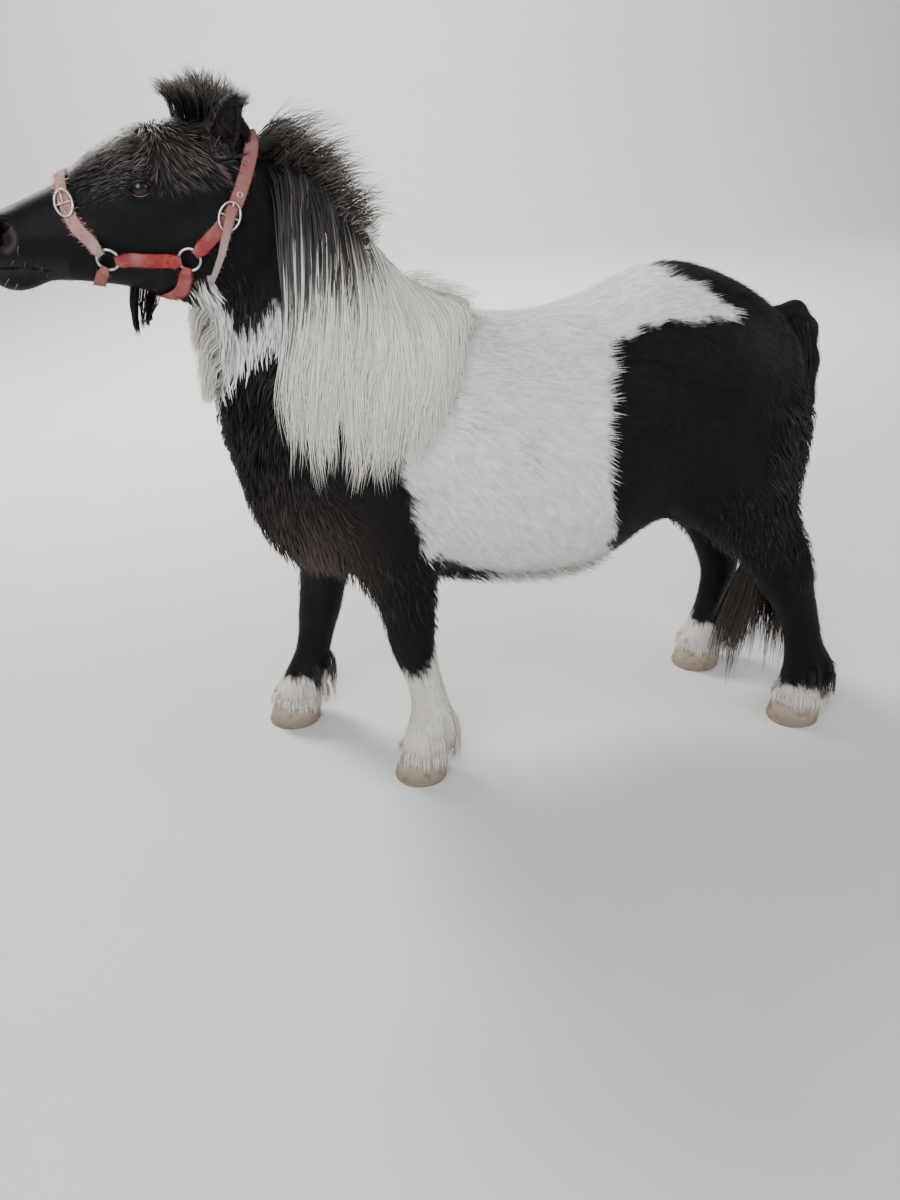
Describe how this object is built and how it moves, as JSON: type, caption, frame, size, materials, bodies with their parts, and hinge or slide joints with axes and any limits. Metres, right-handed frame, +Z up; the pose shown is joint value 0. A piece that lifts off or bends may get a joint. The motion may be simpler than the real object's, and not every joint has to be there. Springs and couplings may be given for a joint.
{
  "type": "shetland pony",
  "caption": "Shaggy black-and-white Shetland pony standing with its nose raised, in a webbing head collar, as a still life-size model.",
  "frame": {"origin": "middle of the bounding box on the ground under the hooves", "axes": "+Z up, the pony faces -X and its near (left) side is -Y"},
  "size_m": [1.6256, 0.5092, 1.3141],
  "materials": {
    "coat_black": "long matt black hair with brown-grey tips in the sun",
    "coat_white": "thick soft white hair with black patches",
    "eye": "wet dark brown",
    "hoof_horn": "dull pale horn",
    "webbing": "faded red webbing with worn fuzzy edges",
    "ring_steel": "dull plated steel"
  },
  "bodies": {
    "root": {"head": "coat_black", "neck": "coat_black", "torso": "coat_white", "ear_near": "coat_black", "eye_near": "eye", "ear_off": "coat_black", "eye_off": "eye", "leg_fore_near": "coat_black", "hoof_fore_near": "hoof_horn", "leg_fore_off": "coat_black", "hoof_fore_off": "hoof_horn", "leg_hind_near": "coat_black", "hoof_hind_near": "hoof_horn", "leg_hind_off": "coat_black", "hoof_hind_off": "hoof_horn", "tail": "coat_black", "halter_noseband": "webbing", "halter_chin_strap": "webbing", "halter_throat_strap": "webbing", "halter_crown_strap": "webbing", "halter_cheek_strap_near": "webbing", "halter_cheek_strap_off": "webbing", "halter_loose_end": "webbing", "halter_jaw_ring_near": "ring_steel", "halter_nose_ring_near": "ring_steel", "halter_jaw_ring_off": "ring_steel", "halter_nose_ring_off": "ring_steel", "halter_nose_buckle": "ring_steel", "halter_crown_buckle": "ring_steel"}
  },
  "joints": []
}
